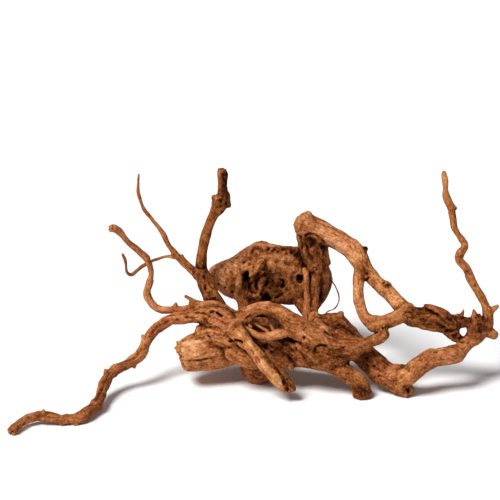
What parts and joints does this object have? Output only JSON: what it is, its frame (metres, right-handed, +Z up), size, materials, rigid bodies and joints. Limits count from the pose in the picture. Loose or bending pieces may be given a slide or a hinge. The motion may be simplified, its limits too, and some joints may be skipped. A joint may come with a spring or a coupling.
{
  "type": "driftwood root",
  "caption": "Weathered branching driftwood root with a hollow stump, an arch, a long runner and antler-like twigs, for an aquarium, terrarium or display.",
  "frame": {"origin": "on the floor, under the middle of the wood's box", "axes": "+X along its width, towards the antler; +Y towards its back, behind the hollow stump; +Z up"},
  "size_m": [0.5014, 0.2533, 0.217],
  "materials": {
    "driftwood": "bare, dry, weathered"
  },
  "bodies": {
    "root": {"driftwood": "driftwood"}
  },
  "joints": []
}
